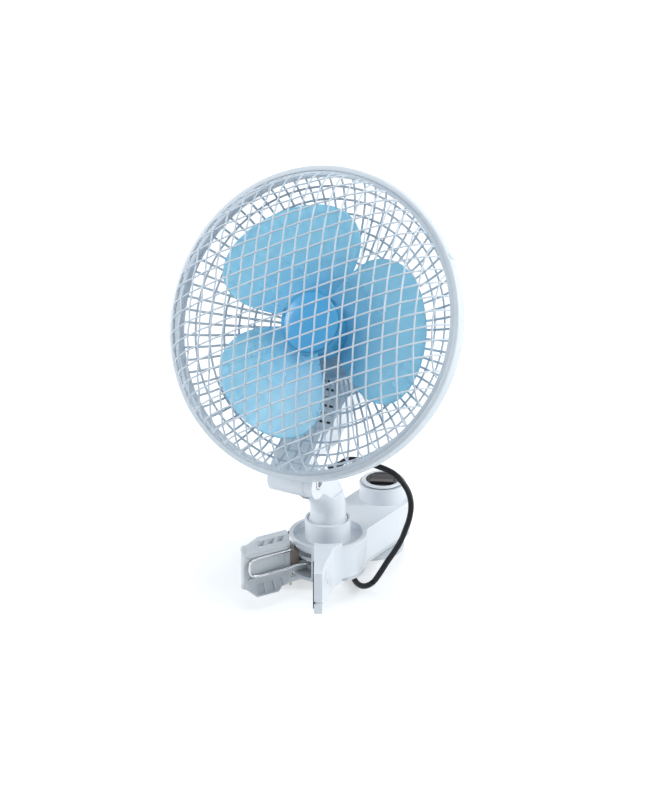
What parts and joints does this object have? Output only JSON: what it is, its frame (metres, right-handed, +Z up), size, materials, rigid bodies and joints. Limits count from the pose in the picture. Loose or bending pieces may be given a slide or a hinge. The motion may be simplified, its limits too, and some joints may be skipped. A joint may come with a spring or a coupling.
{
  "type": "clip fan",
  "caption": "Small clip-on fan with a domed wire guard, broad blue blades, a tilting head on a panning neck, a rocker switch and a sprung scissor clip.",
  "frame": {"origin": "a point on the grip face of the fixed jaw, where the clip bears on what it is clamped to", "axes": "+Z up, -X out of the fixed jaw's grip face towards the moving jaw, -Y along the jaws to their tips"},
  "size_m": [0.1767, 0.1649, 0.2709],
  "materials": {
    "white_plastic": "smooth",
    "grey_white_plastic": "satin",
    "clear_blue_plastic": "clear tinted, smooth",
    "deep_blue_plastic": "smooth",
    "black_plastic": "satin",
    "black_rubber": "soft matt",
    "bright_steel": "bright drawn wire",
    "dark_laminate": "stacked sheet",
    "copper_wire": "enamelled wire",
    "brass": "plain"
  },
  "bodies": {
    "base": {"base_body": "white_plastic", "base_cover": "grey_white_plastic", "cover_screw_left": "bright_steel", "cover_screw_right": "bright_steel", "fixed_jaw_pad": "black_rubber", "jaw_pin": "bright_steel", "switch_bezel": "black_plastic"},
    "jaw": {"moving_jaw": "grey_white_plastic", "jaw_spring": "bright_steel"},
    "rocker": {"switch_rocker": "black_plastic"},
    "neck_arm": {"neck": "white_plastic", "neck_retainer": "bright_steel", "tilt_bolt": "bright_steel", "tilt_nut": "bright_steel", "cord_gland": "black_rubber", "cord_tube": "black_rubber", "cord_coil": "black_rubber", "cord_lead": "black_rubber", "plug_body": "black_plastic", "plug_blade_left": "brass", "plug_blade_right": "brass"},
    "head": {"motor_housing": "white_plastic", "motor_rear_cover": "white_plastic", "stator_core": "dark_laminate", "stator_coil_upper": "copper_wire", "stator_coil_lower": "copper_wire", "front_bearing": "brass", "rear_bearing": "brass", "rear_grille": "white_plastic", "grille_nut": "white_plastic", "guard_hoop": "white_plastic", "front_grille": "white_plastic"},
    "rotor": {"motor_shaft": "bright_steel", "rotor_core": "dark_laminate", "impeller": "clear_blue_plastic", "hub_cap": "deep_blue_plastic"}
  },
  "joints": [
    {"name": "jaw_hinge", "type": "hinge", "parent": "base", "child": "jaw", "pos_m": [0, 0.0447, -0.008], "axis": [0, 0, 1], "range_deg": [0, 42], "stiffness_Nm_per_rad": 0.06, "springref_deg": 68.75},
    {"name": "switch_rock", "type": "hinge", "parent": "base", "child": "rocker", "pos_m": [0.0427, 0.0999, 0.0187], "axis": [0.9945, -0.1045, 0], "range_deg": [-8, 8]},
    {"name": "neck_pan", "type": "hinge", "parent": "base", "child": "neck_arm", "pos_m": [0.009, 0.05, 0.01], "axis": [0, 0, 1], "range_deg": [-35, 35]},
    {"name": "head_tilt", "type": "hinge", "parent": "neck_arm", "child": "head", "pos_m": [-0.00443, 0.02452, 0.0575], "axis": [0.8846, -0.4664, 0], "range_deg": [-22, 20]},
    {"name": "fan_spin", "type": "hinge", "parent": "head", "child": "rotor", "pos_m": [0.00174, 0.03623, 0.15567], "axis": [-0.4087, -0.7752, 0.4818], "continuous": true}
  ]
}
